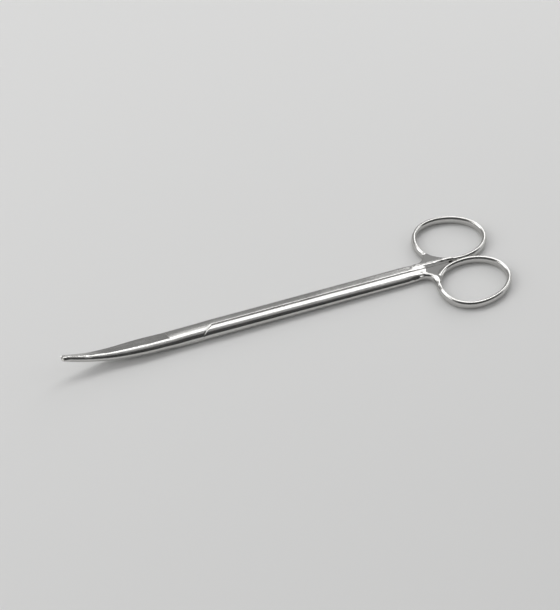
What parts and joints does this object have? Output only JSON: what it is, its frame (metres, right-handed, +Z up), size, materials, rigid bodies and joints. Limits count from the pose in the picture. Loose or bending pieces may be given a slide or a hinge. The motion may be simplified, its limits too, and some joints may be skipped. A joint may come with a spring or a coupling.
{
  "type": "curved dissecting scissors",
  "caption": "Long slim steel scissors with blades that curve upwards, a flush lap joint on a slotted pivot screw and oval finger rings.",
  "frame": {"origin": "on the pivot axis, at the level of the surface that the closed scissors lie on", "axes": "+X along the shanks towards the finger rings, +Y towards the ring of the upper half, +Z up along the pivot axis"},
  "size_m": [0.1906, 0.0524, 0.0104],
  "materials": {
    "polished_steel": "polished stainless steel with a fine satin grain",
    "screw_steel": "turned stainless steel"
  },
  "bodies": {
    "lower_body": {"lower_half": "polished_steel"},
    "upper_body": {"upper_half": "polished_steel", "pivot_screw": "screw_steel"}
  },
  "joints": [
    {"name": "pivot_hinge", "type": "hinge", "parent": "lower_body", "child": "upper_body", "pos_m": [0, 0, 0.0025], "axis": [0, 0, 1], "range_deg": [0, 100]}
  ]
}
